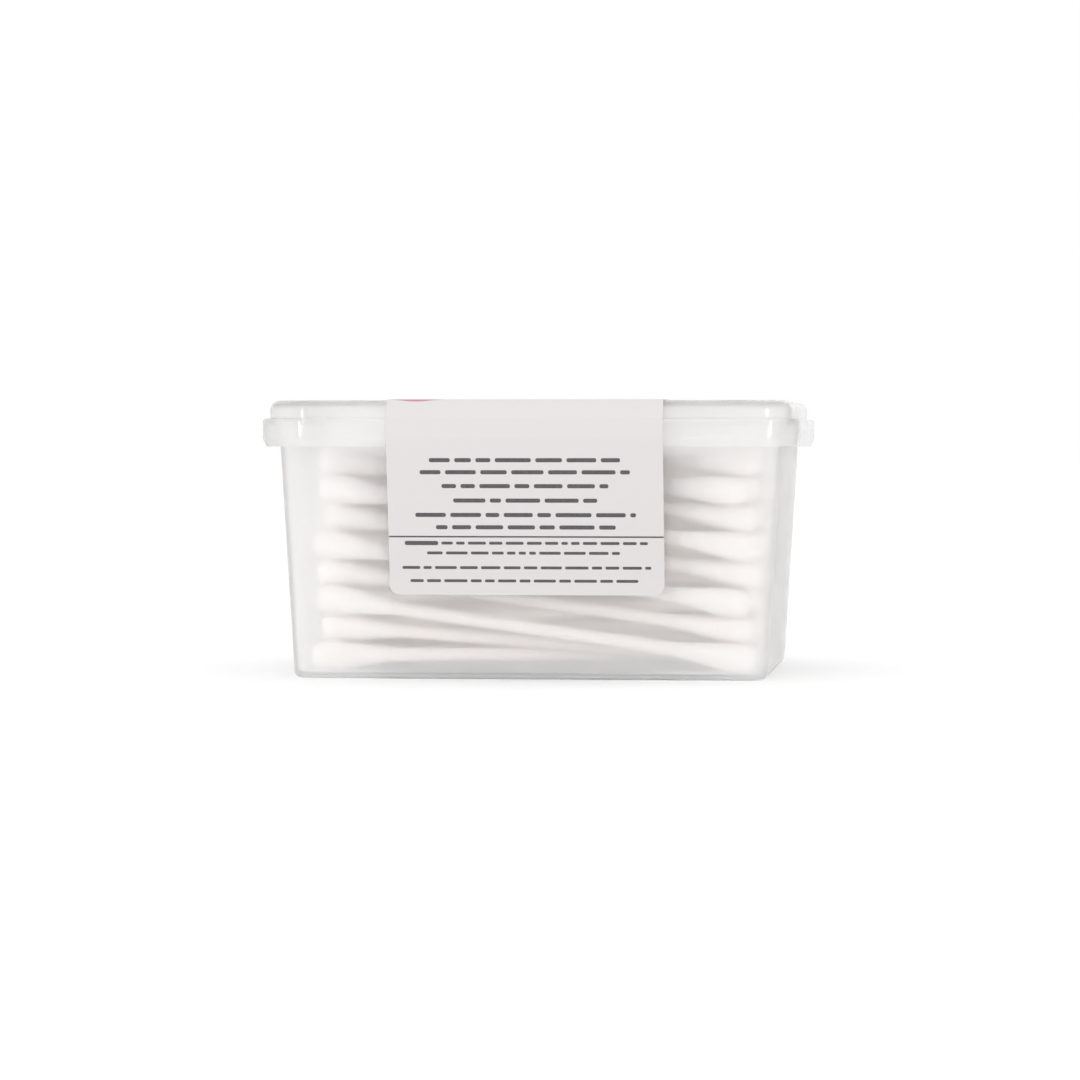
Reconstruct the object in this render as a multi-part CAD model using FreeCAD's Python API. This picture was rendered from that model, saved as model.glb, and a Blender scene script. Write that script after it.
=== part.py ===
import FreeCAD, Part

import math
import os
from FreeCAD import Placement, Rotation, Vector

# A rectangular clear plastic tub of cotton swabs with a lift-off lid and one film label.
# Millimetres, +Z up. The origin is the middle of the tub's underside. X runs along the
# swabs, and -Y is the side that the label hangs down.

# swab: a paper stick with a wound cotton tip at each end
swab_length = 74.0
stick_diameter = 2.4
stick_sides = 6
tip_length = 13.0
tip_diameter = 4.9
tip_sides = 6
tip_neck_diameter = 2.9
tip_nose_diameter = 3.0
tip_crown_share = 0.74

# bundle: rows of swabs, each row shifted by half a swab on the one below
swab_rows = 8
swabs_per_row = 11
swab_gap = 0.45
wall_gap = 0.4
floor_gap = 0.3
end_gap = 2.0
# how many places each ring of the bundle is turned between its left and right ends
ring_twists = (2, -1, 1, 0)
# the bundle lies towards the right end, and each swab is a little out of line with its neighbours:
# both as shares of the room that the end walls leave
bundle_shift_share = 0.35
slide_share = 0.4
slide_steps = 9
slide_row_steps = 7
slide_column_steps = 5

# moulded edges: flat sides that each rounded edge is drawn with
edge_sides = 3

# tub
wall_thickness = 0.9
base_thickness = 1.0
draft_angle = 3.45
rim_corner_radius = 6.3
base_edge_radius = 1.2
fill_headroom = 3.9
flange_width = 1.6
flange_thickness = 1.0

# lid
lid_thickness = 1.0
lid_fit_gap = 0.15
lid_overlap = 3.7
lid_rise = 3.0
lid_step = 1.25
lid_top_radius = 1.6
lid_shoulder_bevel = 0.4
lid_lip_height = 1.3
lid_lip_inset = 0.6

# label
label_width = 46.0
label_thickness = 0.12
label_glue = 0.03
label_drop = 32.4
label_bridge = 23.0
label_back_margin = 9.0
label_corner_radius = 1.7

draft_slope = math.tan(math.radians(draft_angle))

# swab places
swab_pitch = tip_diameter + swab_gap
row_pitch = swab_pitch * math.sqrt(3) / 2
first_row_height = base_thickness + floor_gap + tip_diameter / 2
fill_height = first_row_height + (swab_rows - 1) * row_pitch + tip_diameter / 2
# the bundle is held at the widest turn of the cotton, near each end
grip_reach = swab_length / 2 - tip_length * (1 - tip_crown_share) - tip_diameter / 4

# tub faces: the cavity's half sizes at the top of the base, and the rim's height
cavity_half_x = swab_length / 2 + end_gap
cavity_half_y = (swabs_per_row - 0.5) * swab_pitch / 2 + tip_diameter / 2 + wall_gap
rim_height = fill_height + fill_headroom


def cavity_half(half_at_base, height):
    """Half size of the tapered cavity at a height."""
    return half_at_base + (height - base_thickness) * draft_slope


def wall_half(half_at_base, height):
    """Half size of the tub's outer face at a height."""
    return cavity_half(half_at_base, height) + wall_thickness


def wall_corner(height):
    """Radius of the tub's outer corners at a height, which close in with the draft."""
    return rim_corner_radius - (rim_height - height) * draft_slope


# lid faces, and the upright axes that the corners of tub and lid share
corner_axis_x = wall_half(cavity_half_x, rim_height) - rim_corner_radius
corner_axis_y = wall_half(cavity_half_y, rim_height) - rim_corner_radius
flange_corner = rim_corner_radius + flange_width
skirt_corner = flange_corner + lid_fit_gap + lid_thickness
panel_corner = skirt_corner - lid_step
skirt_half_y = corner_axis_y + skirt_corner
panel_half_y = corner_axis_y + panel_corner
skirt_bottom = rim_height - lid_overlap
shoulder_height = rim_height + lid_thickness
lid_height = shoulder_height + lid_rise


def corner_points(corners, index, parts):
    """Points that divide a corner's arc into equal parts, or the corner itself if it is sharp.

    corners are (across, up, radius) in order round an outline.
    """
    across, up, radius = corners[index]
    corner = Vector(across, up, 0)
    if radius == 0:
        return [corner]
    before = Vector(*corners[index - 1][:2], 0) - corner
    after = Vector(*corners[(index + 1) % len(corners)][:2], 0) - corner
    before.normalize()
    after.normalize()
    half_angle = before.getAngle(after) / 2
    centre = corner + (before + after).normalize() * (radius / math.sin(half_angle))
    start = corner + before * (radius / math.tan(half_angle))
    sweep = math.copysign(180 - 2 * math.degrees(half_angle), after.cross(before).z)
    turns = [Rotation(Vector(0, 0, 1), sweep * part / parts) for part in range(parts + 1)]
    return [centre + turn.multVec(start - centre) for turn in turns]


def drawn_face(corners, place):
    """Flat face of straight edges, with an arc at each corner that has a radius.

    corners are (across, up, radius) in order round the face, and place carries (across, up)
    to a point in space.
    """
    arcs = []
    for index in range(len(corners)):
        arcs.append([place(point.x, point.y) for point in corner_points(corners, index, 2)])
    edges = []
    for index, arc in enumerate(arcs):
        if len(arc) > 1:
            edges.append(Part.Arc(*arc).toShape())
        following = arcs[(index + 1) % len(arcs)][0]
        edges.append(Part.LineSegment(arc[-1], following).toShape())
    return Part.Face(Part.Wire(edges))


def carried_round(corners):
    """Solid made by carrying a section round the rectangle of the four corner axes.

    The section's first measure is the distance outwards from the corner axes: each side is the
    section drawn straight, and each corner is the section turned by a quarter. The section's
    own rounded edges are drawn as a few flats.
    """
    upright = Vector(0, 0, 1)
    outline = []
    for index in range(len(corners)):
        outline += [(point.x, point.y, 0) for point in corner_points(corners, index, edge_sides)]
    pieces = []
    for turn in range(4):
        side, reach = (corner_axis_x, corner_axis_y) if turn % 2 == 0 else (corner_axis_y, corner_axis_x)
        near = drawn_face(outline, lambda out, z: Vector(-side, -reach - out, z))
        far = drawn_face(outline, lambda out, z: Vector(side, -reach - out, z))
        straight = near.extrude(Vector(2 * side, 0, 0))
        quarter = far.revolve(Vector(side, -reach, 0), upright, 90)
        for piece in (straight, quarter):
            piece.rotate(Vector(), upright, 90 * turn)
            pieces.append(piece)
    return pieces[0].multiFuse(pieces[1:])


def plate_between_axes(low, high):
    """Flat plate that fills the rectangle of the four corner axes."""
    corner = Vector(-corner_axis_x, -corner_axis_y, low)
    return Part.makeBox(2 * corner_axis_x, 2 * corner_axis_y, high - low, corner)


def make_tub():
    """Tapered open box with a rounded foot and a flange round its rim."""
    flange_bottom = rim_height - flange_thickness
    section = [
        (0, 0, 0),
        (wall_corner(0), 0, base_edge_radius),
        (wall_corner(flange_bottom), flange_bottom, 0),
        (flange_corner, flange_bottom, 0),
        (flange_corner, rim_height, 0),
        (rim_corner_radius - wall_thickness, rim_height, 0),
        (wall_corner(base_thickness) - wall_thickness, base_thickness, 0),
        (0, base_thickness, 0),
    ]
    return carried_round(section).fuse(plate_between_axes(0, base_thickness)).removeSplitter()


def make_lid():
    """Lid with a skirt over the flange, a shoulder on the rim and a raised panel."""
    panel_bottom = lid_height - lid_thickness
    section = [
        (0, lid_height, 0),
        (0, panel_bottom, 0),
        (panel_corner - lid_thickness, panel_bottom, 0),
        (panel_corner - lid_thickness, rim_height, 0),
        (skirt_corner - lid_thickness, rim_height, 0),
        (skirt_corner - lid_thickness, skirt_bottom, 0),
        (skirt_corner - lid_lip_inset, skirt_bottom, 0),
        (skirt_corner, skirt_bottom + lid_lip_height, 0),
        (skirt_corner, shoulder_height - lid_shoulder_bevel, 0),
        (skirt_corner - lid_shoulder_bevel, shoulder_height, 0),
        (panel_corner, shoulder_height, 0),
        (panel_corner, lid_height, lid_top_radius),
    ]
    plate = plate_between_axes(panel_bottom, lid_height)
    return carried_round(section).fuse(plate).removeSplitter()


def label_line(offset):
    """Corners of the label's section, from its end on the lid's top down to its lower edge.

    offset is the distance outwards from the faces that the film is glued to.
    """
    lip_top = skirt_bottom + lid_lip_height
    contact = lip_top - label_bridge
    lower_edge = lid_height - label_drop
    return [
        (panel_half_y - label_back_margin, lid_height + offset, 0),
        (-panel_half_y - offset / 2, lid_height + offset, lid_top_radius + offset),
        (-skirt_half_y - offset, shoulder_height, 0),
        (-skirt_half_y - offset, lip_top, 0),
        (-wall_half(cavity_half_y, contact) - offset, contact, 0),
        (-wall_half(cavity_half_y, lower_edge) - offset, lower_edge, 0),
    ]


def make_label():
    """One film that runs from the lid's top over its front edge and down the tub's front wall."""
    half_width = label_width / 2
    section = label_line(label_glue) + label_line(label_glue + label_thickness)[::-1]
    film = drawn_face(section, lambda y, z: Vector(-half_width, y, z))
    film = film.extrude(Vector(label_width, 0, 0))
    # the film's lower corners are cut round by its outline as seen from the front
    lower_edge = lid_height - label_drop
    above = lid_height + lid_thickness
    outline = [
        (-half_width, lower_edge, label_corner_radius),
        (half_width, lower_edge, label_corner_radius),
        (half_width, above, 0),
        (-half_width, above, 0),
    ]
    reach = skirt_half_y + lid_thickness
    front = drawn_face(outline, lambda x, z: Vector(x, -reach, z))
    return film.common(front.extrude(Vector(0, 2 * reach, 0)))


def swab_slot(row, column):
    """Place (y, z) of one swab's end in the bundle; the pitch grows as the walls open out."""
    height = first_row_height + row * row_pitch
    room = cavity_half(cavity_half_y, height) - wall_gap - tip_diameter / 2
    pitch = 2 * room / (swabs_per_row - 0.5)
    return -room + (column + 0.5 * (row % 2)) * pitch, height


def ring_slots(ring):
    """Slots of one ring of the bundle, in order: down the front, along the bottom, up and back."""
    top = swab_rows - 1 - ring
    back = swabs_per_row - 1 - ring
    if top == ring:
        return [(ring, column) for column in range(ring, back + 1)]
    front_column = [(row, ring) for row in range(top, ring, -1)]
    bottom_row = [(ring, column) for column in range(ring, back)]
    back_column = [(row, back) for row in range(ring, top)]
    top_row = [(top, column) for column in range(back, ring, -1)]
    return front_column + bottom_row + back_column + top_row


def swab_slide(row, column, height):
    """How far one swab lies off the middle along X: more where the end walls stand further out."""
    spread = (row * slide_row_steps + column * slide_column_steps) % slide_steps
    room = end_gap + (height - base_thickness) * draft_slope
    return room * (bundle_shift_share + slide_share * (2 * spread / (slide_steps - 1) - 1))


def swab_placements():
    """Row number and placement of every swab, by the row of its left end."""
    placements = []
    for ring in range((swab_rows + 1) // 2):
        slots = ring_slots(ring)
        twist = ring_twists[ring % len(ring_twists)]
        for index, (row, column) in enumerate(slots):
            left_y, left_z = swab_slot(row, column)
            right_y, right_z = swab_slot(*slots[(index + twist) % len(slots)])
            direction = Vector(2 * grip_reach, right_y - left_y, right_z - left_z)
            slide = swab_slide(row, column, min(left_z, right_z))
            middle = Vector(slide, (left_y + right_y) / 2, (left_z + right_z) / 2)
            turn = Rotation(Vector(1, 0, 0), direction)
            placements.append((row, Placement(middle, turn)))
    return placements


def polygon_points(diameter, sides, position):
    """Corners of a regular polygon across the X axis, with a flat side down."""
    points = []
    for corner in range(sides):
        angle = 2 * math.pi * (corner + 0.5) / sides
        y = diameter / 2 * math.sin(angle)
        points.append(Vector(position, y, -diameter / 2 * math.cos(angle)))
    return points


def flat_face(points):
    """Flat face with straight edges between its corners."""
    return Part.Face(Part.makePolygon(points + points[:1]))


def make_stick():
    """Bare stick between the two tips."""
    half = swab_length / 2 - tip_length
    section = flat_face(polygon_points(stick_diameter, stick_sides, -half))
    return section.extrude(Vector(2 * half, 0, 0))


def make_tip():
    """Right cotton tip: a slim neck wound on the stick, a full crown and a blunt nose."""
    neck_position = swab_length / 2 - tip_length
    stations = [(0, tip_neck_diameter), (tip_crown_share, tip_diameter), (1, tip_nose_diameter)]
    rings = [
        polygon_points(diameter, tip_sides, neck_position + share * tip_length)
        for share, diameter in stations
    ]
    faces = [flat_face(rings[0]), flat_face(rings[-1])]
    for near, far in zip(rings, rings[1:]):
        for corner in range(tip_sides):
            following = (corner + 1) % tip_sides
            faces.append(flat_face([near[corner], near[following], far[following], far[corner]]))
    shell = Part.makeShell(faces)
    shell.sewShape()
    solid = Part.makeSolid(Part.Shell(shell.Faces))
    if solid.Volume < 0:
        solid.reverse()
    return solid


def placed(shape, placement):
    """Copy of a shape, carried to a swab's place."""
    copy = shape.copy()
    copy.Placement = placement.multiply(copy.Placement)
    return copy


def write(node, shape):
    """Write one node's solids to its own file."""
    shape.exportStep(f"parts/{node}.step")


os.makedirs("parts", exist_ok=True)
write("tub", make_tub())
write("lid", make_lid())
write("label", make_label())

stick = make_stick()
right_tip = make_tip()
left_tip = placed(right_tip, Placement(Vector(), Rotation(Vector(0, 0, 1), 180)))
sticks_by_row = [[] for _ in range(swab_rows)]
tips_by_row = [[] for _ in range(swab_rows)]
for row, placement in swab_placements():
    sticks_by_row[row].append(placed(stick, placement))
    tips_by_row[row].append(placed(left_tip, placement))
    tips_by_row[row].append(placed(right_tip, placement))
for row in range(swab_rows):
    write(f"swab_sticks_row_{row + 1}", Part.makeCompound(sticks_by_row[row]))
    write(f"cotton_tips_row_{row + 1}", Part.makeCompound(tips_by_row[row]))
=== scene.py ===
"""Looks of a cotton swab tub: clear tub and lid, wound cotton swabs and a printed label."""
import logging
import math
import random
from collections.abc import Callable, Sequence
from dataclasses import dataclass, field
from enum import Enum

import bmesh
import bpy
from mathutils import Matrix, Vector


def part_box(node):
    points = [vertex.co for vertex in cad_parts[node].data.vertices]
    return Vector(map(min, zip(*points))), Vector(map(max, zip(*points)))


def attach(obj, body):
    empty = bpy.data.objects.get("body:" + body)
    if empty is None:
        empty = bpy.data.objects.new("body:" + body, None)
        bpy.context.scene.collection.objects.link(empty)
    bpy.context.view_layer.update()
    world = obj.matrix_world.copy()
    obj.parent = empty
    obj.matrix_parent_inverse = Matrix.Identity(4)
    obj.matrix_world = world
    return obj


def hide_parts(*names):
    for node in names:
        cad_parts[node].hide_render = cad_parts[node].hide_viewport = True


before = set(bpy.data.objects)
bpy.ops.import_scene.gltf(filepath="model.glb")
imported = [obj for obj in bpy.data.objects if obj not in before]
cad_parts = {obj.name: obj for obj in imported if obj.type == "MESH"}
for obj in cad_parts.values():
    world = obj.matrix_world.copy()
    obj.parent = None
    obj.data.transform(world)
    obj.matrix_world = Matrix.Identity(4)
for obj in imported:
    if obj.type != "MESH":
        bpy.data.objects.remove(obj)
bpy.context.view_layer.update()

MM = 0.001
SEED = 41
SWAB_PLACE = "swab_place"
QUARTER_TURN = math.pi / 2
# doubled points of a new piece are merged within this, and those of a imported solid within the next
MERGE_DISTANCE = 0.004 * MM
WELD_DISTANCE = 0.001 * MM
# two places are one for selecting by place within this
NEAR = 0.01 * MM
LEAST_ARC_STEPS = 2
SORT_DIGITS = 6

Colour = tuple[float, float, float, float]
WHITE: Colour = (1.0, 1.0, 1.0, 1.0)

log = logging.getLogger("swab_tub")


class Signal:
    """One shader socket that takes part in arithmetic."""

    def __init__(self, graph: "Graph", socket: bpy.types.NodeSocket) -> None:
        """Keep the socket and the graph that it belongs to."""
        self.graph = graph
        self.socket = socket

    def output(self, name: str | int) -> "Signal":
        """Another output of the same node."""
        return Signal(self.graph, self.socket.node.outputs[name])

    def __add__(self, other: "Signal | float") -> "Signal":
        """Sum."""
        return self.graph.maths("ADD", self, other)

    def __sub__(self, other: "Signal | float") -> "Signal":
        """Difference."""
        return self.graph.maths("SUBTRACT", self, other)

    def __rsub__(self, other: float) -> "Signal":
        """Difference from a number."""
        return self.graph.maths("SUBTRACT", other, self)

    def __mul__(self, other: "Signal | float") -> "Signal":
        """Product."""
        return self.graph.maths("MULTIPLY", self, other)

    def __lt__(self, other: "Signal | float") -> "Signal":
        """1 where this is less, else 0."""
        return self.graph.maths("LESS_THAN", self, other)

    def __gt__(self, other: "Signal | float") -> "Signal":
        """1 where this is greater, else 0."""
        return self.graph.maths("GREATER_THAN", self, other)

    __radd__ = __add__
    __rmul__ = __mul__


class Graph:
    """The node tree of one material or of the world."""

    def __init__(self, tree: bpy.types.NodeTree, output_kind: str) -> None:
        """Empty the tree and add its output.

        Args:
            tree: The tree to write.
            output_kind: The type of its output node.
        """
        tree.nodes.clear()
        self.tree = tree
        self.end = tree.nodes.new(output_kind)

    def node(
        self,
        kind: str,
        settings: dict[str, object] | None = None,
        sockets: dict[str | int, object] | None = None,
    ) -> Signal:
        """Add a node.

        Args:
            kind: The node's type.
            settings: Its properties, set before its sockets.
            sockets: Values or signals by input name or number.

        Returns:
            The node's first output.
        """
        made = self.tree.nodes.new(kind)
        for name, value in (settings or {}).items():
            setattr(made, name, value)
        for name, value in (sockets or {}).items():
            if isinstance(value, Signal):
                self.tree.links.new(value.socket, made.inputs[name])
            else:
                made.inputs[name].default_value = value
        return Signal(self, made.outputs[0])

    def maths(self, operation: str, first: Signal | float, second: Signal | float) -> Signal:
        """One step of arithmetic on two numbers or signals."""
        return self.node("ShaderNodeMath", {"operation": operation}, {0: first, 1: second})

    def mixed(self, share: Signal, first: Colour, second: Colour | Signal) -> Signal:
        """Colour that goes from the first to the second as share goes from 0 to 1."""
        # the node has sockets of one name for each kind of data, so the colour's go by number
        settings = {"data_type": "RGBA", "clamp_factor": True}
        return self.node("ShaderNodeMix", settings, {0: share, 6: first, 7: second}).output(2)

    def stretched(self, place: Signal, sizes: Sequence[float]) -> Signal:
        """Place divided by a size along each axis, so that a pattern's cell has those sizes."""
        scale = tuple(1 / size for size in sizes)
        return self.node("ShaderNodeVectorMath", {"operation": "MULTIPLY"}, {0: place, 1: scale})

    def noise(self, place: Signal, detail: float = 2.0) -> Signal:
        """Smooth random value with cells of about one unit."""
        sockets = {"Vector": place, "Scale": 1.0, "Detail": detail}
        return self.node("ShaderNodeTexNoise", None, sockets)

    def ranged(self, ends: tuple[float, float], share: Signal) -> Signal:
        """Value that goes from the first end to the second as share goes from 0 to 1."""
        return ends[0] + (ends[1] - ends[0]) * share

    def bump(self, height: Signal, depth: float) -> Signal:
        """Normal of a relief of that depth in metres."""
        return self.node("ShaderNodeBump", None, {"Height": height, "Distance": depth})

    def show(self, surface: Signal) -> None:
        """Send a shader to the output."""
        self.tree.links.new(surface.socket, self.end.inputs["Surface"])


def new_material(name: str) -> tuple[bpy.types.Material, Graph]:
    """Add a material with an empty node tree.

    Args:
        name: The material's name.

    Returns:
        The material and the graph that writes its tree.
    """
    material = bpy.data.materials.new(name)
    material.use_nodes = True
    return material, Graph(material.node_tree, "ShaderNodeOutputMaterial")


@dataclass(frozen=True)
class ClearPlastic:
    """Clear moulded plastic with a milky haze that blurs what lies behind it."""

    name: str
    tint: Colour = (0.997, 0.996, 0.997, 1.0)
    clarity: float = 0.8
    refraction: float = 1.08
    frost: tuple[float, float] = (0.42, 0.56)
    gloss: float = 0.2
    gloss_roughness: float = 0.07
    cloud_size: float = 9 * MM
    ripple_depth: float = 0.01 * MM
    lamp_tint: Colour = (0.95, 0.95, 0.95, 1.0)

    def material(self) -> bpy.types.Material:
        """Build the material.

        Returns:
            The material.
        """
        material, graph = new_material(self.name)
        place = graph.node("ShaderNodeTexCoord").output("Object")
        cloud = graph.noise(graph.stretched(place, [self.cloud_size] * 3))
        plastic = graph.node("ShaderNodeBsdfPrincipled", None, {
            "Base Color": self.tint,
            "Roughness": graph.ranged(self.frost, cloud),
            "IOR": self.refraction,
            "Transmission Weight": self.clarity,
            "Coat Weight": self.gloss,
            "Coat Roughness": self.gloss_roughness,
            "Normal": graph.bump(cloud, self.ripple_depth),
        })
        lamp_ray = graph.node("ShaderNodeLightPath").output("Is Shadow Ray")
        open_way = graph.node("ShaderNodeBsdfTransparent", None, {"Color": self.lamp_tint})
        graph.show(graph.node("ShaderNodeMixShader", None, {0: lamp_ray, 1: plastic, 2: open_way}))
        return material


@dataclass(frozen=True)
class WoundCotton:
    """Cotton wound round a stick: fine strands across it, soft tufts and a matt face."""

    name: str
    colour: Colour = (0.94, 0.91, 0.89, 1.0)
    shade: Colour = (0.90, 0.852, 0.825, 1.0)
    strand_sizes: tuple[float, float, float] = (0.16 * MM, 1.1 * MM, 1.1 * MM)
    tuft_size: float = 1.3 * MM
    strand_share: float = 0.55
    detail: float = 3.0
    relief: float = 0.22 * MM
    roughness: float = 0.95
    specular: float = 0.1
    sheen: float = 0.25
    sheen_roughness: float = 0.6

    def material(self) -> bpy.types.Material:
        """Build the material.

        Returns:
            The material.
        """
        material, graph = new_material(self.name)
        place = graph.node("ShaderNodeAttribute", {"attribute_name": SWAB_PLACE}).output("Vector")
        strands = graph.noise(graph.stretched(place, self.strand_sizes), self.detail)
        tufts = graph.noise(graph.stretched(place, [self.tuft_size] * 3), self.detail)
        height = self.strand_share * strands + (1 - self.strand_share) * tufts
        graph.show(graph.node("ShaderNodeBsdfPrincipled", None, {
            "Base Color": graph.mixed(height, self.shade, self.colour),
            "Roughness": self.roughness,
            "Specular IOR Level": self.specular,
            "Sheen Weight": self.sheen,
            "Sheen Roughness": self.sheen_roughness,
            "Normal": graph.bump(height, self.relief),
        }))
        return material


@dataclass(frozen=True)
class RolledPaper:
    """White paper rolled into a stick, with its grain along the stick."""

    name: str
    colour: Colour = (0.925, 0.87, 0.845, 1.0)
    shade: Colour = (0.885, 0.82, 0.785, 1.0)
    grain_sizes: tuple[float, float, float] = (5.0 * MM, 0.35 * MM, 0.35 * MM)
    detail: float = 3.0
    relief: float = 0.03 * MM
    roughness: tuple[float, float] = (0.62, 0.82)
    specular: float = 0.3

    def material(self) -> bpy.types.Material:
        """Build the material.

        Returns:
            The material.
        """
        material, graph = new_material(self.name)
        place = graph.node("ShaderNodeAttribute", {"attribute_name": SWAB_PLACE}).output("Vector")
        grain = graph.noise(graph.stretched(place, self.grain_sizes), self.detail)
        graph.show(graph.node("ShaderNodeBsdfPrincipled", None, {
            "Base Color": graph.mixed(grain, self.shade, self.colour),
            "Roughness": graph.ranged(self.roughness, grain),
            "Specular IOR Level": self.specular,
            "Normal": graph.bump(grain, self.relief),
        }))
        return material


@dataclass(frozen=True)
class PrintedFilm:
    """White satin film with one plain round field of pink on the part that lies on the lid."""

    name: str
    colour: Colour = (0.72, 0.694, 0.699, 1.0)
    field_colour: Colour = (0.60, 0.22, 0.31, 1.0)
    field_middle: tuple[float, float] = (-18.2 * MM, -23.4 * MM)
    field_radius: float = 12.45 * MM
    field_lowest: float = 45.2 * MM
    ripple_size: float = 9 * MM
    ripple_depth: float = 0.05 * MM
    roughness: tuple[float, float] = (0.38, 0.52)

    def material(self) -> bpy.types.Material:
        """Build the material.

        Returns:
            The material.
        """
        material, graph = new_material(self.name)
        place = graph.node("ShaderNodeTexCoord").output("Object")
        across = graph.node("ShaderNodeSeparateXYZ", None, {0: place})
        from_x = across.output("X") - self.field_middle[0]
        from_y = across.output("Y") - self.field_middle[1]
        on_lid_top = across.output("Z") > self.field_lowest
        field_mask = on_lid_top * ((from_x * from_x + from_y * from_y) < self.field_radius ** 2)
        ripple = graph.noise(graph.stretched(place, [self.ripple_size] * 3))
        graph.show(graph.node("ShaderNodeBsdfPrincipled", None, {
            "Base Color": graph.mixed(field_mask, self.colour, self.field_colour),
            "Roughness": graph.ranged(self.roughness, ripple),
            "Normal": graph.bump(ripple, self.ripple_depth),
        }))
        return material


@dataclass(frozen=True)
class Ink:
    """Dark printing ink, a little uneven."""

    name: str
    colour: Colour = (0.055, 0.052, 0.054, 1.0)
    pale: Colour = (0.13, 0.125, 0.128, 1.0)
    cell: float = 0.5 * MM
    roughness: float = 0.5

    def material(self) -> bpy.types.Material:
        """Build the material.

        Returns:
            The material.
        """
        material, graph = new_material(self.name)
        place = graph.node("ShaderNodeTexCoord").output("Object")
        speckle = graph.noise(graph.stretched(place, [self.cell] * 3))
        graph.show(graph.node("ShaderNodeBsdfPrincipled", None, {
            "Base Color": graph.mixed(speckle, self.colour, self.pale),
            "Roughness": self.roughness,
        }))
        return material


class Slot(Enum):
    """The record's material slots."""

    CLEAR_PLASTIC = "clear_plastic"
    LABEL_FILM = "label_film"
    STICK_PAPER = "stick_paper"
    COTTON = "cotton"


@dataclass(frozen=True)
class Corner:
    """A corner of a drawn line, with the radius of its arc."""

    across: float
    up: float
    radius: float = 0.0


def rounded_line(
    corners: Sequence[Corner], arc_step: float = math.radians(15)
) -> list[tuple[float, float]]:
    """Points of an open line whose corners are rounded.

    Args:
        corners: The corners in order. The first and last have no radius.
        arc_step: The largest turn between two points of an arc.

    Returns:
        (across, up) of each point.
    """
    points = [Vector((corners[0].across, corners[0].up))]
    for before, here, after in zip(corners, corners[1:], corners[2:]):
        corner = Vector((here.across, here.up))
        if here.radius == 0:
            points.append(corner)
            continue
        back = (Vector((before.across, before.up)) - corner).normalized()
        ahead = (Vector((after.across, after.up)) - corner).normalized()
        half_angle = back.angle(ahead) / 2
        centre = corner + (back + ahead).normalized() * (here.radius / math.sin(half_angle))
        start = corner + back * (here.radius / math.tan(half_angle)) - centre
        sweep = math.copysign(math.pi - 2 * half_angle, ahead.cross(back))
        steps = max(LEAST_ARC_STEPS, math.ceil(abs(sweep) / arc_step))
        for step in range(steps + 1):
            points.append(centre + Matrix.Rotation(sweep * step / steps, 2) @ start)
    points.append(Vector((corners[-1].across, corners[-1].up)))
    return [(point.x, point.y) for point in points]


class Workpiece:
    """One mesh on the bench, shaped in edit mode."""

    def __init__(self, name: str, first: Vector) -> None:
        """Start from a single point.

        Args:
            name: The piece's name.
            first: Where the point is.
        """
        bpy.ops.object.select_all(action="DESELECT")
        bpy.ops.mesh.primitive_plane_add(size=MM)
        self.obj = bpy.context.object
        self.obj.name = name
        self.obj.data.name = name
        bpy.ops.object.mode_set(mode="EDIT")
        bpy.ops.mesh.select_all(action="SELECT")
        bpy.ops.mesh.merge(type="CENTER")
        bpy.ops.transform.translate(value=first)

    @classmethod
    def from_ring(cls, name: str, place: float, radius: float, sides: int) -> "Workpiece":
        """Start from a filled ring across the X axis, in edit mode and selected.

        Args:
            name: The piece's name.
            place: Where the ring is along X.
            radius: The ring's radius.
            sides: Its number of edges.

        Returns:
            The piece.
        """
        piece = cls(name, Vector((place, 0, 0)))
        bpy.ops.mesh.delete(type="VERT")
        bpy.ops.mesh.primitive_circle_add(
            vertices=sides, radius=radius, fill_type="NGON",
            location=(place, 0, 0), rotation=(0, QUARTER_TURN, 0),
        )
        return piece

    def draw(self, points: Sequence[Vector]) -> None:
        """Draw a line of edges through the points, from the first, where the piece starts."""
        for near, far in zip(points, points[1:]):
            bpy.ops.mesh.extrude_vertices_move(TRANSFORM_OT_translate={"value": far - near})

    def pick(self, wanted: Callable[[Vector], bool]) -> None:
        """Select what has all its corners where wanted says, and nothing else.

        Args:
            wanted: Says of a corner's place whether it is selected.
        """
        bpy.ops.mesh.select_mode(type="VERT")
        bpy.ops.mesh.select_all(action="DESELECT")
        mesh = bmesh.from_edit_mesh(self.obj.data)
        for vertex in mesh.verts:
            vertex.select = wanted(vertex.co)
        mesh.select_flush(True)
        bmesh.update_edit_mesh(self.obj.data)

    def pull(self, step: Vector) -> None:
        """Extrude what is selected."""
        bpy.ops.mesh.extrude_region_move(TRANSFORM_OT_translate={"value": step})

    def turn_out(self, steps: int, angle: float, centre: Vector) -> None:
        """Spin what is selected about an upright axis, anticlockwise as seen from above."""
        bpy.ops.mesh.spin(steps=steps, angle=-angle, center=centre, axis=(0, 0, 1))

    def close(self) -> None:
        """Merge doubled points, point all faces outwards and leave edit mode."""
        bpy.ops.mesh.select_all(action="SELECT")
        bpy.ops.mesh.remove_doubles(threshold=MERGE_DISTANCE)
        bpy.ops.mesh.normals_make_consistent(inside=False)
        bpy.ops.object.mode_set(mode="OBJECT")

    def modified(self, kind: str, **settings: object) -> None:
        """Apply a modifier, outside edit mode.

        Args:
            kind: The modifier's type.
            settings: Its properties.
        """
        bpy.ops.object.modifier_add(type=kind)
        modifier = self.obj.modifiers[-1]
        for name, value in settings.items():
            setattr(modifier, name, value)
        bpy.ops.object.modifier_apply(modifier=modifier.name)

    def smoothed(self, sharp_angle: float = math.radians(40)) -> bpy.types.Object:
        """Shade smooth except at sharp edges, and hand over the object."""
        bpy.ops.object.shade_smooth_by_angle(angle=sharp_angle)
        return self.obj


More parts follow.
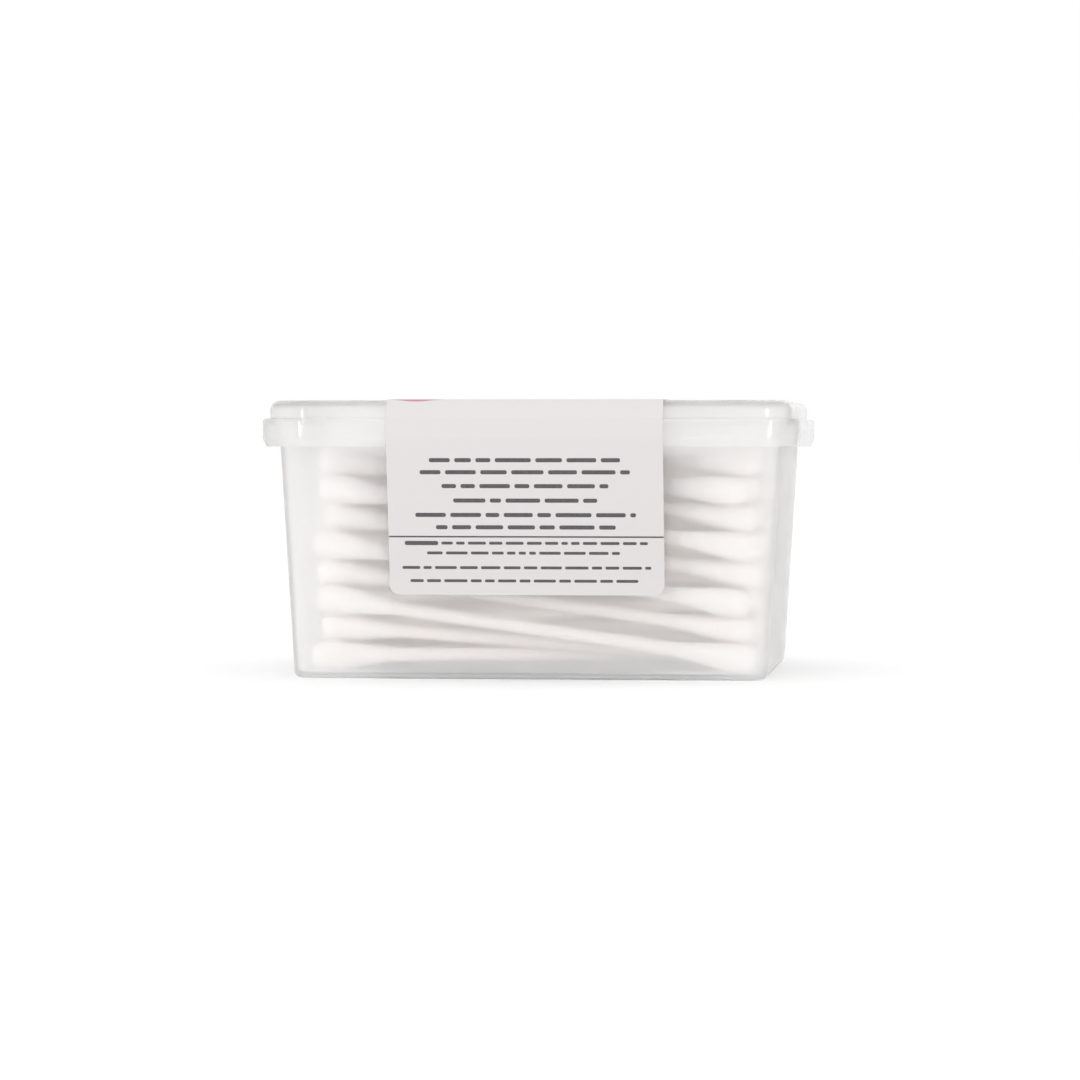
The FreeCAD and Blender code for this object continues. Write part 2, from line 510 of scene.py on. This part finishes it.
def hand_over(
    obj: bpy.types.Object, finish: bpy.types.Material, body: str, slot: Slot, *nodes: str
) -> None:
    """Dress a finished piece, hang it on its body and hide the CAD nodes that it stands for.

    Args:
        obj: The finished piece.
        finish: Its material.
        body: The body that it rides on.
        slot: The record's material slot; not used.
        nodes: The CAD nodes that it stands for.
    """
    obj.data.materials.clear()
    obj.data.materials.append(finish)
    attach(obj, body)
    if nodes:
        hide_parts(*nodes)
    log.info("%s: %d faces", obj.name, len(obj.data.polygons))


def moulded_shell(
    name: str, section: Sequence[Corner], axis_x: float, axis_y: float, steps: int
) -> Workpiece:
    """Closed thin-walled moulding, carried round the rectangle of four upright corner axes.

    Args:
        name: The piece's name.
        section: The wall's section, from its end over the corner axis round to its other end.
            Across is measured outwards from the axis.
        axis_x: The axes' distance from the middle along X.
        axis_y: The axes' distance from the middle along Y.
        steps: Faces round each corner.

    Returns:
        The piece, outside edit mode.
    """
    line = rounded_line(section)
    points = [Vector((axis_x, -axis_y - across, up)) for across, up in line]
    plates = (line[0][1], line[-1][1])
    piece = Workpiece(name, points[0])
    piece.draw(points)
    bpy.ops.mesh.select_all(action="SELECT")
    piece.turn_out(steps, QUARTER_TURN, Vector((axis_x, -axis_y, 0)))
    piece.pick(lambda at: at.x < axis_x + NEAR)
    piece.pull(Vector((-axis_x, 0, 0)))
    piece.pick(lambda at: at.y > -axis_y - NEAR and at.x > axis_x - NEAR)
    piece.pull(Vector((0, axis_y, 0)))
    for height in plates:
        piece.pick(
            lambda at: abs(at.z - height) < NEAR
            and abs(at.y + axis_y) < NEAR
            and at.x < axis_x + NEAR
        )
        piece.pull(Vector((0, axis_y, 0)))
    piece.close()
    piece.modified("MIRROR", use_axis=(True, True, False), merge_threshold=NEAR)
    bpy.ops.object.mode_set(mode="EDIT")
    piece.close()
    return piece


@dataclass
class TubShell:
    """The tub: tapered walls, a rounded foot and a flange round the rim."""

    wall: float = 0.9 * MM
    base: float = 1.0 * MM
    draft: float = math.radians(3.45)
    rim_corner: float = 6.3 * MM
    flange_width: float = 1.6 * MM
    flange_thickness: float = 1.0 * MM
    foot_round: float = 1.2 * MM
    floor_round: float = 1.0 * MM
    edge_round: float = 0.25 * MM
    corner_steps: int = 14
    reach: Vector = field(default_factory=lambda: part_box("tub")[1])

    @property
    def axis_x(self) -> float:
        """Distance of the corner axes from the middle along X."""
        return self.reach.x - self.rim_corner - self.flange_width

    @property
    def axis_y(self) -> float:
        """Distance of the corner axes from the middle along Y."""
        return self.reach.y - self.rim_corner - self.flange_width

    def corner_at(self, height: float) -> float:
        """Radius of the outer corners at a height."""
        return self.rim_corner - (self.reach.z - height) * math.tan(self.draft)

    def build(self, finish: bpy.types.Material) -> None:
        """Model the tub and dress it.

        Args:
            finish: Its material.
        """
        rim = self.reach.z
        under_flange = rim - self.flange_thickness
        flange = self.rim_corner + self.flange_width
        section = [
            Corner(0, 0),
            Corner(self.corner_at(0), 0, self.foot_round),
            Corner(self.corner_at(under_flange), under_flange, self.edge_round),
            Corner(flange, under_flange, self.edge_round),
            Corner(flange, rim, self.edge_round),
            Corner(self.rim_corner - self.wall, rim, self.edge_round),
            Corner(self.corner_at(self.base) - self.wall, self.base, self.floor_round),
            Corner(0, self.base),
        ]
        piece = moulded_shell("moulded_tub", section, self.axis_x, self.axis_y, self.corner_steps)
        hand_over(piece.smoothed(), finish, "tub", Slot.CLEAR_PLASTIC, "tub")


@dataclass
class LidShell:
    """The lid: raised panel, shoulder on the rim and a skirt with a lip turned in below."""

    tub: TubShell
    thickness: float = 1.0 * MM
    step: float = 1.25 * MM
    rise: float = 3.0 * MM
    top_round: float = 1.6 * MM
    shoulder_round: float = 0.5 * MM
    lip_height: float = 1.3 * MM
    lip_inset: float = 0.6 * MM
    lip_round: float = 1.2 * MM
    edge_round: float = 0.2 * MM
    inner_round: float = 0.8 * MM
    seat_gap: float = 0.02 * MM
    corner_steps: int = 14
    low: Vector = field(default_factory=lambda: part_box("lid")[0])
    high: Vector = field(default_factory=lambda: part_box("lid")[1])

    @property
    def shoulder(self) -> float:
        """Height of the shoulder's top."""
        return self.high.z - self.rise

    def build(self, finish: bpy.types.Material) -> None:
        """Model the lid and dress it.

        Args:
            finish: Its material.
        """
        skirt = self.high.x - self.tub.axis_x
        panel = skirt - self.step
        seat = self.tub.reach.z + self.seat_gap
        under_panel = self.high.z - self.thickness
        section = [
            Corner(0, self.high.z),
            Corner(panel, self.high.z, self.top_round),
            Corner(panel, self.shoulder, self.edge_round),
            Corner(skirt, self.shoulder, self.shoulder_round),
            Corner(skirt, self.low.z + self.lip_height, self.lip_round),
            Corner(skirt - self.lip_inset, self.low.z, self.edge_round / 2),
            Corner(skirt - self.thickness, self.low.z, self.edge_round / 2),
            Corner(skirt - self.thickness, seat, self.edge_round),
            Corner(panel - self.thickness, seat, self.edge_round),
            Corner(panel - self.thickness, under_panel, self.inner_round),
            Corner(0, under_panel),
        ]
        piece = moulded_shell(
            "moulded_lid", section, self.tub.axis_x, self.tub.axis_y, self.corner_steps
        )
        hand_over(piece.smoothed(), finish, "lid", Slot.CLEAR_PLASTIC, "lid")


@dataclass(frozen=True)
class BarSize:
    """How large the bars of a printed row are."""

    height: float
    lengths: tuple[float, float]
    space: float
    bold_height: float


class Print(Enum):
    """The label's two sizes of print."""

    LARGE = BarSize(
        height=0.68 * MM, lengths=(1.7 * MM, 6.4 * MM), space=0.75 * MM, bold_height=0.9 * MM
    )
    SMALL = BarSize(
        height=0.48 * MM, lengths=(1.0 * MM, 4.0 * MM), space=0.55 * MM, bold_height=0.7 * MM
    )


@dataclass(frozen=True)
class PrintRow:
    """One printed row on the label: plain bars in place of words."""

    height: float
    half_width: float
    print_size: Print
    bold_lead: float = 0.0

    def bars(self, draws: random.Random) -> list[tuple[float, float, float]]:
        """Divide the row into bars.

        Args:
            draws: The source of the bars' lengths.

        Returns:
            (middle, length, height) of each bar, measured from the row's own middle.
        """
        size = self.print_size.value
        placed = []
        along = -self.half_width
        if self.bold_lead:
            placed.append((along + self.bold_lead / 2, self.bold_lead, size.bold_height))
            along += self.bold_lead + size.space
        while along < self.half_width - size.lengths[0] / 2:
            length = min(draws.uniform(*size.lengths), self.half_width - along)
            placed.append((along + length / 2, length, size.height))
            along += length + size.space
        return placed


@dataclass
class Label:
    """The film label, from the lid's top over its front edge and down the tub's front wall."""

    lid: LidShell
    thickness: float = 0.12 * MM
    edge_bend: float = 1.75 * MM
    shoulder_bend: float = 1.2 * MM
    lip_bend: float = 4.0 * MM
    wall_bend: float = 8.0 * MM
    bridge: float = 23.0 * MM
    corner_round: float = 1.7 * MM
    corner_steps: int = 8
    rule_height: float = 23.87 * MM
    rule_thickness: float = 0.26 * MM
    rule_margin: float = 0.05 * MM
    print_lift: float = 0.012 * MM
    print_start: float = 5.0 * MM
    bar_round_share: float = 0.4
    bar_round_steps: int = 3
    rows: tuple[PrintRow, ...] = (
        PrintRow(36.6 * MM, 15.9 * MM, Print.LARGE),
        PrintRow(34.6 * MM, 17.5 * MM, Print.LARGE),
        PrintRow(32.3 * MM, 13.9 * MM, Print.LARGE),
        PrintRow(29.9 * MM, 12.0 * MM, Print.LARGE),
        PrintRow(27.5 * MM, 18.4 * MM, Print.LARGE),
        PrintRow(25.45 * MM, 15.0 * MM, Print.LARGE),
        PrintRow(22.8 * MM, 20.3 * MM, Print.SMALL, bold_lead=5.6 * MM),
        PrintRow(21.15 * MM, 16.6 * MM, Print.SMALL),
        PrintRow(18.7 * MM, 20.8 * MM, Print.SMALL),
        PrintRow(16.5 * MM, 19.5 * MM, Print.SMALL),
    )
    low: Vector = field(default_factory=lambda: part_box("label")[0])
    high: Vector = field(default_factory=lambda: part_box("label")[1])

    def build(self, film_finish: bpy.types.Material, ink_finish: bpy.types.Material) -> None:
        """Model the film and its print, and dress them.

        Args:
            film_finish: The film's material.
            ink_finish: The print's material.
        """
        film = self.film()
        hand_over(film, film_finish, "lid", Slot.LABEL_FILM, "label")
        hand_over(self.printed(film), ink_finish, "lid", Slot.LABEL_FILM)

    def film(self) -> bpy.types.Object:
        """Model the film: its section drawn along Y and Z, then pulled across the label's width.

        Returns:
            The film as one object.
        """
        tub = self.lid.tub
        top = self.high.z
        proud = top - self.lid.high.z
        lip_top = self.lid.low.z + self.lid.lip_height
        contact = lip_top - self.bridge

        def wall_at(height: float) -> float:
            """Place of the film's outer face on the tub's front wall."""
            return -(tub.axis_y + tub.corner_at(height)) - proud

        line = rounded_line([
            Corner(self.high.y, top),
            Corner(self.low.y + self.lid.step, top, self.edge_bend),
            Corner(self.low.y, self.lid.shoulder, self.shoulder_bend),
            Corner(self.low.y, lip_top, self.lip_bend),
            Corner(wall_at(contact), contact, self.wall_bend),
            Corner(wall_at(self.low.z), self.low.z),
        ])
        points = [Vector((self.low.x, along, up)) for along, up in line]
        piece = Workpiece("film_label", points[0])
        piece.draw(points)
        bpy.ops.mesh.select_all(action="SELECT")
        piece.pull(Vector((self.high.x - self.low.x, 0, 0)))
        piece.pick(lambda at: at.z < self.low.z + self.thickness)
        bpy.ops.mesh.bevel(offset=self.corner_round, segments=self.corner_steps, affect="VERTICES")
        bpy.ops.mesh.select_all(action="SELECT")
        bpy.ops.mesh.normals_make_consistent(inside=False)
        bpy.ops.object.mode_set(mode="OBJECT")
        piece.modified("SOLIDIFY", thickness=self.thickness, offset=-1.0)
        return piece.smoothed()

    def printed(self, film: bpy.types.Object) -> bpy.types.Object:
        """Model the print: rows of rounded bars and one rule line.

        They are drawn in front of the film and then laid on it.

        Args:
            film: The film that carries the print.

        Returns:
            The print as one object.
        """
        draws = random.Random(SEED)
        before_film = self.low.y - self.print_start
        piece = Workpiece("label_print", Vector((0, before_film, self.rule_height)))
        bpy.ops.mesh.delete(type="VERT")
        rule_length = self.high.x - self.low.x - 2 * self.rule_margin
        self.bar(Vector((0, before_film, self.rule_height)), rule_length, self.rule_thickness)
        for row in self.rows:
            for middle, length, height in row.bars(draws):
                self.bar(Vector((middle, before_film, row.height)), length, height)
        bpy.ops.object.mode_set(mode="OBJECT")
        piece.modified(
            "SHRINKWRAP", target=film, wrap_method="PROJECT", use_project_y=True,
            use_project_x=False, use_project_z=False, use_positive_direction=True,
        )
        piece.modified("SOLIDIFY", thickness=self.print_lift, offset=1.0)
        return piece.smoothed()

    def bar(self, place: Vector, length: float, thickness: float) -> None:
        """Add one upright bar with rounded ends to the mesh in edit mode.

        Args:
            place: Where its middle is.
            length: Its length along X.
            thickness: Its height.
        """
        bpy.ops.mesh.select_all(action="DESELECT")
        bpy.ops.mesh.primitive_plane_add(size=1.0, location=place, rotation=(QUARTER_TURN, 0, 0))
        bpy.ops.transform.resize(value=(length, 1, thickness), center_override=place)
        round_offset = self.bar_round_share * thickness
        bpy.ops.mesh.bevel(offset=round_offset, segments=self.bar_round_steps, affect="VERTICES")


@dataclass
class SwabBundle:
    """All the swabs: a round stick and two wound cotton tips at each stick of the frame."""

    stick_sides: int = 12
    stick_radius: float = 1.2 * MM
    stick_hidden: float = 2.0 * MM
    tip_sides: int = 16
    tip_length: float = 13.0 * MM
    tip_profile: tuple[tuple[float, float], ...] = (
        (-0.06, 1.12), (0.0, 1.27), (0.12, 1.44), (0.28, 1.70), (0.46, 2.04), (0.62, 2.32),
        (0.76, 2.42), (0.88, 2.26), (0.96, 1.74), (0.995, 0.9),
    )
    lump_depth: float = 0.24 * MM
    lump_size: float = 2.2 * MM
    lump_kinds: tuple[str, ...] = ("BLENDER_ORIGINAL", "ORIGINAL_PERLIN", "IMPROVED_PERLIN")
    tip_sharp_angle: float = math.radians(80)
    place_spread: float = 40.0 * MM

    def build(self, cotton: bpy.types.Material, paper: bpy.types.Material) -> None:
        """Model one stick and a few tips, and copy them to every swab.

        Args:
            cotton: The tips' material.
            paper: The sticks' material.
        """
        stick = self.stick_master()
        tips = [self.tip_master(kind) for kind in self.lump_kinds]
        draws = random.Random(SEED)
        row = 1
        while f"swab_sticks_row_{row}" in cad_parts:
            stick_node, tip_node = f"swab_sticks_row_{row}", f"cotton_tips_row_{row}"
            sticks, cottons = [], []
            for left, right in self.stick_ends(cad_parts[stick_node].data):
                along = (right - left).normalized()
                sticks.append(self.copy(stick, (left + right) / 2, along, draws))
                for end, outwards in ((left, -along), (right, along)):
                    cottons.append(self.copy(draws.choice(tips), end, outwards, draws))
            row_of_sticks = self.joined(f"paper_sticks_{row}", sticks)
            hand_over(row_of_sticks, paper, "tub", Slot.STICK_PAPER, stick_node)
            row_of_tips = self.joined(f"wound_tips_{row}", cottons)
            hand_over(row_of_tips, cotton, "tub", Slot.COTTON, tip_node)
            row += 1
        for master in (stick, *tips):
            bpy.data.objects.remove(master)

    @staticmethod
    def round_piece(name: str, stations: Sequence[tuple[float, float]], sides: int) -> Workpiece:
        """Closed round piece along X.

        Args:
            name: The piece's name.
            stations: (place along X, radius) of each ring.
            sides: Faces round it.

        Returns:
            The piece, in edit mode.
        """
        piece = Workpiece.from_ring(name, *stations[0], sides)
        for (before, was), (place, radius) in zip(stations, stations[1:]):
            piece.pull(Vector((place - before, 0, 0)))
            growth = radius / was
            bpy.ops.transform.resize(value=(1, growth, growth), center_override=(place, 0, 0))
        return piece

    def stick_master(self) -> bpy.types.Object:
        """Model one stick along X about the origin, with its ends inside the cotton.

        Returns:
            The stick that the others are copied from.
        """
        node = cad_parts["swab_sticks_row_1"].data
        left, right = self.stick_ends(node)[0]
        half = (right - left).length / 2 + self.stick_hidden
        stations = [(-half, self.stick_radius), (half, self.stick_radius)]
        piece = self.round_piece("stick_master", stations, self.stick_sides)
        piece.close()
        return piece.smoothed()

    def tip_master(self, kind: str) -> bpy.types.Object:
        """Model one cotton tip along X from its neck at the origin, with soft lumps.

        Args:
            kind: The kind of noise that makes the lumps.

        Returns:
            A tip that others are copied from.
        """
        stations = [(share * self.tip_length, radius * MM) for share, radius in self.tip_profile]
        piece = self.round_piece("tip_master", stations, self.tip_sides)
        piece.close()
        lumps = bpy.data.textures.new("cotton_lumps", "CLOUDS")
        lumps.noise_basis = kind
        lumps.noise_scale = self.lump_size
        piece.modified(
            "DISPLACE",
            texture=lumps,
            texture_coords="LOCAL",
            strength=self.lump_depth,
            mid_level=0.5,
        )
        return piece.smoothed(self.tip_sharp_angle)

    def copy(
        self, master: bpy.types.Object, place: Vector, along: Vector, draws: random.Random
    ) -> bpy.types.Object:
        """Copy a master to its place, turned at random about its own length.

        Args:
            master: The modelled piece, along X.
            place: Where its origin goes.
            along: Where its X axis points.
            draws: The source of the turn and of the finish's offset.

        Returns:
            The copy, with its own mesh.
        """
        mesh = master.data.copy()
        offset = Vector((draws.uniform(0, self.place_spread) for _ in range(3)))
        own_place = mesh.attributes.new(SWAB_PLACE, "FLOAT_VECTOR", "POINT")
        for vertex, value in zip(mesh.vertices, own_place.data):
            value.vector = vertex.co + offset
        roll = Matrix.Rotation(draws.uniform(0, 2 * math.pi), 4, "X")
        turn = along.to_track_quat("X", "Z").to_matrix().to_4x4()
        mesh.transform(Matrix.Translation(place) @ turn @ roll)
        copied = bpy.data.objects.new(master.name, mesh)
        bpy.context.collection.objects.link(copied)
        return copied

    @staticmethod
    def joined(name: str, pieces: Sequence[bpy.types.Object]) -> bpy.types.Object:
        """Join pieces into one object.

        Args:
            name: The object's name.
            pieces: What is joined.

        Returns:
            The joined object.
        """
        bpy.ops.object.select_all(action="DESELECT")
        for piece in pieces:
            piece.select_set(True)
        bpy.context.view_layer.objects.active = pieces[0]
        bpy.ops.object.join()
        pieces[0].name = name
        pieces[0].data.name = name
        return pieces[0]

    @staticmethod
    def stick_ends(mesh: bpy.types.Mesh) -> list[tuple[Vector, Vector]]:
        """Find where each stick of a CAD node ends.

        Args:
            mesh: The node's mesh.

        Returns:
            Middles of each stick's left and right ends, from the lowest stick up.
        """
        bench = bmesh.new()
        bench.from_mesh(mesh)
        bmesh.ops.remove_doubles(bench, verts=bench.verts, dist=WELD_DISTANCE)
        waiting = set(bench.verts)
        ends = []
        while waiting:
            reached = [waiting.pop()]
            corners = []
            while reached:
                vertex = reached.pop()
                corners.append(vertex.co.copy())
                beyond = {edge.other_vert(vertex) for edge in vertex.link_edges} & waiting
                waiting -= beyond
                reached += beyond
            # a set has another order in each run, and the order of a sum changes its last digit
            corners.sort(key=tuple)
            sides = [[at for at in corners if at.x < 0], [at for at in corners if at.x > 0]]
            ends.append(tuple(sum(side, Vector()) / len(side) for side in sides))
        bench.free()
        return sorted(
            ends, key=lambda pair: (round(pair[0].z, SORT_DIGITS), round(pair[0].y, SORT_DIGITS))
        )


@dataclass(frozen=True)
class Lamp:
    """A soft lamp that points at the object."""

    name: str
    place: tuple[float, float, float]
    width: float
    height: float
    power: float

    def hang(self, aim: Vector) -> None:
        """Add the lamp to the scene.

        Args:
            aim: The place that it points at.
        """
        data = bpy.data.lights.new(self.name, "AREA")
        data.shape = "RECTANGLE"
        data.size = self.width
        data.size_y = self.height
        data.energy = self.power
        lamp = bpy.data.objects.new(self.name, data)
        lamp.location = self.place
        lamp.rotation_euler = (aim - lamp.location).to_track_quat("-Z", "Y").to_euler()
        bpy.context.scene.collection.objects.link(lamp)


@dataclass
class Studio:
    """Pale floor, white surround, soft lamps and the camera at the photograph's angle."""

    picture_pixels: int = 1080
    focal_pixels: float = 4016.0
    sensor: float = 36.0
    azimuth: float = math.radians(6.3)
    distance: float = 700 * MM
    eye_height: float = 40.0 * MM
    aim_height: float = 22.5 * MM
    aim_left: float = 1.4 * MM
    nearest_seen: float = 10 * MM
    floor_half: float = 6.0
    floor_colour: Colour = (0.92, 0.92, 0.92, 1.0)
    floor_white: float = 1.02
    shadow_share: float = 0.9
    shadow_fade: tuple[float, float] = (0.03, 0.07)
    world_light: float = 0.98
    all_bounces: int = 20
    diffuse_bounces: int = 12
    lamps: tuple[Lamp, ...] = (
        Lamp("left_lamp", (-0.90, -0.35, 0.30), width=0.6, height=0.6, power=0.7),
        Lamp("front_lamp", (0.0, -0.80, 0.60), width=0.8, height=0.6, power=0.25),
        Lamp("top_lamp", (0.0, 0.05, 0.95), width=0.9, height=0.9, power=0.15),
        Lamp("left_strip", (-0.45, -0.80, 0.10), width=0.04, height=0.4, power=0.8),
        Lamp("right_strip", (0.80, -0.50, 0.10), width=0.04, height=0.4, power=0.8),
    )

    def build(self) -> None:
        """Set the scene round the object."""
        bpy.context.scene.view_settings.view_transform = "Standard"
        light_paths = bpy.context.scene.cycles
        light_paths.max_bounces = self.all_bounces
        light_paths.transmission_bounces = self.all_bounces
        light_paths.diffuse_bounces = self.diffuse_bounces
        self.camera()
        self.world()
        self.floor()
        for lamp in self.lamps:
            lamp.hang(Vector((0, 0, self.aim_height)))

    def camera(self) -> None:
        """Add the camera."""
        sight = Vector((math.sin(self.azimuth), -math.cos(self.azimuth), 0))
        sideways = Vector((math.cos(self.azimuth), math.sin(self.azimuth), 0))
        aim = Vector((0, 0, self.aim_height)) - sideways * self.aim_left
        eye = sight * self.distance - sideways * self.aim_left + Vector((0, 0, self.eye_height))
        data = bpy.data.cameras.new("camera")
        data.sensor_width = self.sensor
        data.lens = self.focal_pixels / self.picture_pixels * self.sensor
        data.clip_start = self.nearest_seen
        camera = bpy.data.objects.new("camera", data)
        camera.location = eye
        camera.rotation_euler = (aim - eye).to_track_quat("-Z", "Y").to_euler()
        bpy.context.scene.collection.objects.link(camera)
        bpy.context.scene.camera = camera

    @staticmethod
    def seen_directly(graph: Graph) -> Signal:
        """Find the rays that show the surround itself.

        Args:
            graph: The graph of the surround or of the floor.

        Returns:
            1 for rays from the camera, off gloss and through clear pieces, else 0.
        """
        path = graph.node("ShaderNodeLightPath")
        seen = path.output("Is Camera Ray") + path.output("Is Glossy Ray")
        return graph.maths("MINIMUM", seen + path.output("Is Transmission Ray"), 1.0)

    def world(self) -> None:
        """White surround that lights the object at a plain level."""
        world = bpy.data.worlds.new("surround")
        bpy.context.scene.world = world
        world.use_nodes = True
        graph = Graph(world.node_tree, "ShaderNodeOutputWorld")
        strength = self.world_light + (1 - self.world_light) * self.seen_directly(graph)
        sockets = {"Color": WHITE, "Strength": strength}
        graph.show(graph.node("ShaderNodeBackground", None, sockets))

    def floor(self) -> None:
        """Pale floor that keeps the object's shadow."""
        bpy.ops.object.select_all(action="DESELECT")
        bpy.ops.mesh.primitive_plane_add(size=2 * self.floor_half, location=(0, 0, 0))
        floor = bpy.context.object
        floor.name = "floor"
        material, graph = new_material("pale_floor")
        place = graph.node("ShaderNodeTexCoord").output("Object")
        spread = graph.node("ShaderNodeVectorMath", {"operation": "LENGTH"}, {0: place})
        near, far = self.shadow_fade
        fade = {"Value": spread.output("Value"), "From Min": near, "From Max": far}
        away = graph.node("ShaderNodeMapRange", None, fade)
        lit = graph.node("ShaderNodeBsdfDiffuse", None, {"Color": self.floor_colour})
        white = {"Color": WHITE, "Strength": self.floor_white}
        own = graph.node("ShaderNodeEmission", None, white)
        share = (1 - self.shadow_share * (1 - away)) * self.seen_directly(graph)
        graph.show(graph.node("ShaderNodeMixShader", None, {0: share, 1: lit, 2: own}))
        floor.data.materials.append(material)


def main() -> None:
    """Build and dress the whole object, then the studio."""
    logging.basicConfig(level=logging.INFO, format="%(name)s: %(message)s")
    tub = TubShell()
    lid = LidShell(tub)
    tub.build(ClearPlastic("clear_tub_plastic").material())
    lid_plastic = ClearPlastic("clear_lid_plastic", tint=(0.985, 0.978, 0.974, 1.0), gloss=0.9)
    lid.build(lid_plastic.material())
    cotton, paper = WoundCotton("wound_cotton"), RolledPaper("rolled_paper")
    SwabBundle().build(cotton.material(), paper.material())
    Label(lid).build(PrintedFilm("printed_film").material(), Ink("printing_ink").material())
    Studio().build()


if __name__ == "__main__":
    main()
